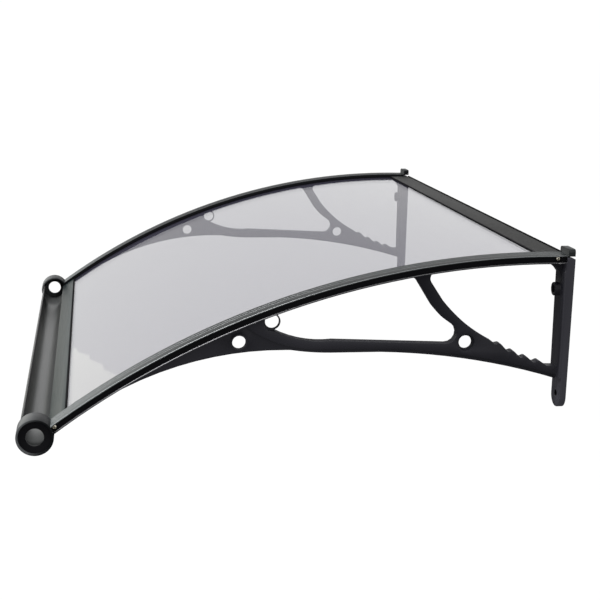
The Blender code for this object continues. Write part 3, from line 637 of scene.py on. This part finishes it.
# %% [markdown]
# ## Finding places by the roof's arc
# The sheet, the rails and the strips all follow one shallow arc round a centre far below the awning. A place
# on them is told most simply by two measures: its inset, which is how far it lies inside the awning's outer
# side, and its drop below the top of the arc. Every band of edges or faces along the roof is given by these
# two, and one band serves both sides. The centre of the arc is given by its Y and its Z.

# %% Edges and faces along the roof
ROOF_RADIUS = 1.1897
ROOF_CENTRE = (-0.0319, -1.1803)
NEAR = 2e-4
UPRIGHT = 0.5
SLOPE = (0.25, 0.96)
UPWARDS = 0.15


def inset(place):
    """How far a place lies inside the outer side face of its bracket."""
    return HALF_WIDTH - abs(place.x)


def drop(place):
    """How far a place lies below the top of the roof's arc."""
    return ROOF_RADIUS - math.hypot(place.y - ROOF_CENTRE[0], place.z - ROOF_CENTRE[1])


def inside(value, band):
    return band[0] < value < band[1]


def at_inset(edge, depth):
    """True for an edge that stays this far inside the outer side."""
    return all(abs(inset(v.co) - depth) < NEAR for v in edge.verts)


def at_drop(edge, depth):
    """True for an edge that follows the roof this far below its top."""
    return all(abs(drop(v.co) - depth) < NEAR for v in edge.verts)


def upright_faces(work, insets, drops):
    """The faces turned sideways that lie between these insets and these drops."""
    turned = [f for f in work.faces if abs(f.normal.x) > UPRIGHT]
    faces = [f for f in turned if inside(inset(f.calc_center_median()), insets)]
    return [f for f in faces if all(inside(drop(v.co), drops) for v in f.verts)]


def rounded_faces(work, insets, drops):
    """The slanting faces of rounded edges, turned outwards and up, in this band."""
    faces = []
    for face in work.faces:
        centre = face.calc_center_median()
        outwards = face.normal.x * math.copysign(1, centre.x)
        if inside(outwards, SLOPE) and face.normal.z > UPWARDS:
            if inside(inset(centre), insets) and inside(drop(centre), drops):
                faces.append(face)
    return faces


print("roof of radius", ROOF_RADIUS, "round", ROOF_CENTRE)

# %% [markdown]
# ## Side brackets
# Each bracket is one moulding: a rail with a ledge and a kerb, an open web, a post and an end ring. Its post
# has two upright edges with a large radius, and the ledge a middling one. They are rounded first, from wide
# to narrow, since a wide bevel needs untouched edges beside it. Painted shade goes on the kerb under the
# cover strip, the sunk plate in the end ring and the walls of the two screw holes, and these are chosen while
# the flat faces are still whole. The ledge's painted highlight is chosen after the bevels, because it lies on
# a rounded edge.

# %% Brackets
PAINTED_SHADE, PAINTED_HIGHLIGHT = 1, 2
KERB_INSET = (0.0030, 0.0070)
KERB_DROP = (0.0015, 0.0109)
RING_PLATE_INSET = (0.0028, 0.0034)
RING_PLATE_DROP = (-0.05, 0.05)
BORE_INSET = 0.0175
BORES = ((-0.1980, 0.0048), (-0.0418, 0.0056))
POST_FRONT = (-0.0170, -0.0138)
POST_FOOT = -0.175
POST_PART = 0.05
PLUMB = 1e-4
POST_EDGE = 0.0034
LEDGE_DROP = 0.0099
LEDGE_EDGE = 0.0012
LEDGE_LINE_INSET = (-0.0001, 0.0016)
LEDGE_LINE_DROP = (0.0096, 0.0113)
BRACKET_EDGE = 0.0006
BRACKET_ROOM = 0.0018


def on_post_front(edge):
    """True for the two upright edges at the front of the post."""
    a, b = (v.co for v in edge.verts)
    upright = abs(a.z - b.z) > POST_PART and abs(a.x - b.x) < PLUMB
    return upright and min(a.z, b.z) > POST_FOOT and all(inside(p.y, POST_FRONT) for p in (a, b))


def bore_faces(work, height, radius):
    """The wall of a screw hole along Y at this height, found by a radius that just takes in its wall."""
    def in_bore(place):
        return math.hypot(inset(place) - BORE_INSET, place.z - height) < radius

    walls = [f for f in work.faces if abs(f.normal.y) < UPRIGHT]
    return [f for f in walls if all(in_bore(v.co) for v in f.verts)]


def round_bracket(side):
    node = f"side_bracket_{side}"
    work = whole(node)
    # Painted shade on the kerb, the ring's sunk plate and the walls of the two screw holes.
    kerb = give_material(upright_faces(work, KERB_INSET, KERB_DROP), PAINTED_SHADE)
    plate = give_material(upright_faces(work, RING_PLATE_INSET, RING_PLATE_DROP), PAINTED_SHADE)
    bores = sum(give_material(bore_faces(work, *bore), PAINTED_SHADE) for bore in BORES)
    bevel(work, [e for e in sharp_edges(work) if on_post_front(e)], POST_EDGE, segments=5)
    ledge = [e for e in sharp_edges(work) if at_inset(e, 0.0) and at_drop(e, LEDGE_DROP)]
    bevel(work, ledge, LEDGE_EDGE, segments=4)
    edges = with_room(sharp_edges(work), BRACKET_ROOM)
    bevel(work, edges, BRACKET_EDGE)
    # Painted highlight on the ledge's rounded outer edge.
    line = give_material(rounded_faces(work, LEDGE_LINE_INSET, LEDGE_LINE_DROP), PAINTED_HIGHLIGHT)
    print(node, "edges:", len(edges), "dark faces:", kerb + plate, bores, "worn faces:", line)
    piece_from(work, f"bracket_moulding_{side}", node, extra=(shaded, ledge_highlight))


for side in ("right", "left"):
    round_bracket(side)

# %% [markdown]
# ## Cover strips
# A cover strip is an extrusion with a rounded outer edge and two fine grooves. All three show as light
# lines, because a rounded edge always has some place that mirrors the sky. So the outer edge gets a bevel
# 1.4 mm wide and the grooves' edges one of 0.45 mm, each in four segments, and their faces get a painted
# highlight as a material of their own. The other edges get a bevel that is just wide enough to catch the
# light. The inner leg, which reaches down to the sheet, gets painted shade.

# %% Strips
STRIP_INSET = 0.0005
STRIP_EDGE = 0.0014
STRIP_LINE_INSET = (0.0004, 0.0022)
STRIP_LINE_DROP = (-0.0001, 0.0013)
GROOVES = (0.0262, 0.0180)
GROOVE_SPAN = (0.010, 0.030)
GROOVE_SLANT = 1e-5
GROOVE_EDGE = 0.00045
GROOVE_REACH = 0.0013
GROOVE_LINE_DROP = (-0.0001, 0.0005)
LEG_INSET = (0.0340, 0.0360)
LEG_DROP = (-0.0200, 0.0070)
FINE_EDGE = 0.0003
FINE_ROOM = 0.0009


def in_groove(edge):
    """True for an edge that runs along one of the grooves, not across it."""
    a, b = (inset(v.co) for v in edge.verts)
    return inside(a, GROOVE_SPAN) and inside(b, GROOVE_SPAN) and abs(a - b) < GROOVE_SLANT


def round_strip(side):
    node = f"cover_strip_{side}"
    work = whole(node)
    # Painted shade on the inner leg, which reaches down to the sheet.
    leg = give_material(upright_faces(work, LEG_INSET, LEG_DROP), PAINTED_SHADE)
    on_top = [e for e in sharp_edges(work) if at_drop(e, 0.0)]
    outer = [e for e in on_top if at_inset(e, STRIP_INSET)]
    grooves = [e for e in on_top if in_groove(e)]
    bevel(work, outer, STRIP_EDGE, segments=4)
    bevel(work, [e for e in grooves if e.is_valid], GROOVE_EDGE, segments=4)
    rest = [e for e in sharp_edges(work) if not at_inset(e, STRIP_INSET)]
    bevel(work, with_room(rest, FINE_ROOM), FINE_EDGE)
    # Painted highlight on the rounded outer edge and on the edges of the grooves.
    lines = rounded_faces(work, STRIP_LINE_INSET, STRIP_LINE_DROP)
    for groove in GROOVES:
        lines += rounded_faces(work, (groove - GROOVE_REACH, groove + GROOVE_REACH), GROOVE_LINE_DROP)
    print(node, "edges:", len(outer), len(grooves), "dark faces:", leg, "worn:", give_material(lines, PAINTED_HIGHLIGHT))
    piece_from(work, f"cover_extrusion_{side}", node, extra=(shaded, strip_highlight))


for side in ("right", "left"):
    round_strip(side)

# %% [markdown]
# ## Gutter and wall profile
# Each is one cross-section carried along from side to side. Their lips are only a few millimetres thick,
# so the edges get a bevel of 0.3 or 0.4 mm, which leaves the lips their shape. The gutter's flange and its
# trough are one piece of metal, and the faces of the flange that look up get the duller coat.

# %% Extrusions
GUTTER_EDGE = 0.0003
PROFILE_EDGE = 0.0004
ROOM_FOR_EDGE = 3
DULL = 1
FLANGE_Y = 0.0490 - FRONT
FACES_UP = 0.5


def round_extrusion(node, width):
    work = whole(node)
    bevel(work, with_room(sharp_edges(work), ROOM_FOR_EDGE * width), width)
    return work


gutter = round_extrusion("front_gutter", GUTTER_EDGE)
flange = [f for f in gutter.faces if f.normal.z > FACES_UP and f.calc_center_median().y > FLANGE_Y]
print("flange faces:", give_material(flange, DULL))
piece_from(gutter, "gutter_extrusion", "front_gutter", extra=(flange_coat,))
piece_from(round_extrusion("wall_profile", PROFILE_EDGE), "wall_extrusion", "wall_profile")

# %% [markdown]
# ## Floor and card
# Black plastic is photographed over a light table, with little to reflect at its sides and below, or the
# black turns grey. So the floor, well below the awning, glows evenly by itself: lamps would light it
# unevenly, and no shadow shows on it, as in the photograph. It is left out of reflections. A black card low
# on the far side is seen by reflections only, and darkens the gutter's front wall.

# %% Floor and card
FLOOR_Z = -1.10
FLOOR_SIZE = 120.0
CARD_X = -2.5
CARD_Y = (-0.40, 0.60)
CARD_Z = (-0.90, 0.12)
WHITE = (1.0, 1.0, 1.0, 1.0)
FLOOR_BASE = (0.02, 0.02, 0.02, 1.0)
CARD_BLACK = (0.004, 0.004, 0.004, 1.0)


def studio_piece(work, name, paint):
    """Finishes a bmesh as an object of the studio, which is no part of the awning."""
    mesh = bpy.data.meshes.new(name)
    work.to_mesh(mesh)
    work.free()
    mesh.materials.append(paint.material)
    made = bpy.data.objects.new(name, mesh)
    bpy.context.scene.collection.objects.link(made)
    return made


def make_floor():
    work = bmesh.new()
    bmesh.ops.create_grid(work, x_segments=1, y_segments=1, size=FLOOR_SIZE / 2)
    bmesh.ops.translate(work, verts=work.verts, vec=(0, 0, FLOOR_Z))
    glow = {"Base_Color": FLOOR_BASE, "Emission_Color": WHITE, "Emission_Strength": 1.0}
    paint = Finish("pale_floor", Roughness=0.9, Specular_IOR_Level=0.0, **glow)
    floor = studio_piece(work, "floor", paint)
    floor.visible_glossy = False
    print("floor at", FLOOR_Z)


def make_card():
    work = bmesh.new()
    low, high = CARD_Z
    corners = ((CARD_Y[0], low), (CARD_Y[1], low), (CARD_Y[1], high), (CARD_Y[0], high))
    work.faces.new([work.verts.new((CARD_X, y, z)) for y, z in corners])
    paint = Finish("black_card", Base_Color=CARD_BLACK, Roughness=1.0, Specular_IOR_Level=0.0)
    card = studio_piece(work, "card", paint)
    card.visible_camera = card.visible_diffuse = card.visible_shadow = False
    print("card at", CARD_X)


make_floor()
make_card()

# %% [markdown]
# ## Sky and lamps
# Most of the light comes from the sky, which is the softest lamp there is. It is white above the horizon and
# dim below it, where the floor hides it from the eye and reflections find something dark. Two soft lamps
# above give the edges their light. A soft, faintly yellow panel stands low at the back, beyond the left edge
# of the picture, and the sheet's front corner mirrors it as a pale triangle.

# %% Sky and lamps
HORIZON = (-0.12, -0.03)
SKY_ABOVE = 1.02
SKY_BELOW = 0.10


def make_sky():
    """White above the horizon and dim below it, with a soft change between."""
    world = bpy.data.worlds.new("sky")
    sky = Tree(world)
    where = sky.node("ShaderNodeTexCoord", output="Generated")
    height = sky.node("ShaderNodeSeparateXYZ", inputs={0: where}, output="Z")
    background = sky.tree.nodes["Background"].inputs
    sky.feed(background["Strength"], sky.rise(height, *HORIZON, SKY_BELOW, SKY_ABOVE))
    sky.feed(background["Color"], WHITE)
    bpy.context.scene.world = world
    print("sky from", SKY_BELOW, "to", SKY_ABOVE)


def make_lamp(name, place, target, size, watts, colour=(1.0, 1.0, 1.0)):
    """A soft rectangular lamp that looks at its target and isn't seen itself."""
    data = bpy.data.lights.new(name, "AREA")
    data.color = colour
    data.shape, data.size, data.size_y, data.energy = "RECTANGLE", *size, watts
    lamp = bpy.data.objects.new(name, data)
    lamp.location = place
    lamp.rotation_euler = (Vector(target) - Vector(place)).to_track_quat("-Z", "Y").to_euler()
    lamp.visible_camera = False
    bpy.context.scene.collection.objects.link(lamp)
    print(name, "lamp of", watts, "W at", place)


make_sky()
make_lamp("overhead", place=(0.0, -0.4, 3.2), target=(0.0, -0.4, -0.1), size=(3.0, 3.0), watts=60)
make_lamp("key", place=(0.9, -1.7, 2.9), target=(0.3, -0.4, -0.1), size=(1.2, 1.2), watts=180)
make_lamp(
    "panel",
    place=(-3.0, -3.0, 0.75),
    target=(0.0, -3.0, 0.75),
    size=(3.0, 2.5),
    watts=14,
    colour=(1.0, 1.0, 0.8),
)
bpy.context.scene.view_settings.view_transform = "Standard"
